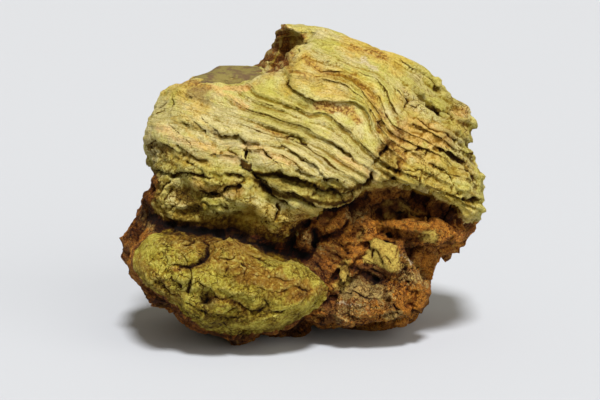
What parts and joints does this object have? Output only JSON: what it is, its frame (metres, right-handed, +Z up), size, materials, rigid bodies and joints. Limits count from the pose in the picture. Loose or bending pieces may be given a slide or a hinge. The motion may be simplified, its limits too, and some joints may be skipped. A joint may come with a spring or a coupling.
{
  "type": "nontronite mineral specimen",
  "caption": "Hand-sized lump of folded, laminated yellow-green nontronite clay on rusty limonite matrix, for display on its flat broken underside.",
  "frame": {"origin": "middle of the specimen's box, on the surface that its flat underside rests on", "axes": "+Z up, +X to the right as the display side is seen from in front, +Y away from the display side"},
  "size_m": [0.0808, 0.0576, 0.0685],
  "materials": {
    "clay_and_limonite": "dull, earthy, layered yellow-green clay with rusty brown and orange limonite in its hollows and lower right"
  },
  "bodies": {
    "root": {"nontronite_specimen": "clay_and_limonite"}
  },
  "joints": []
}
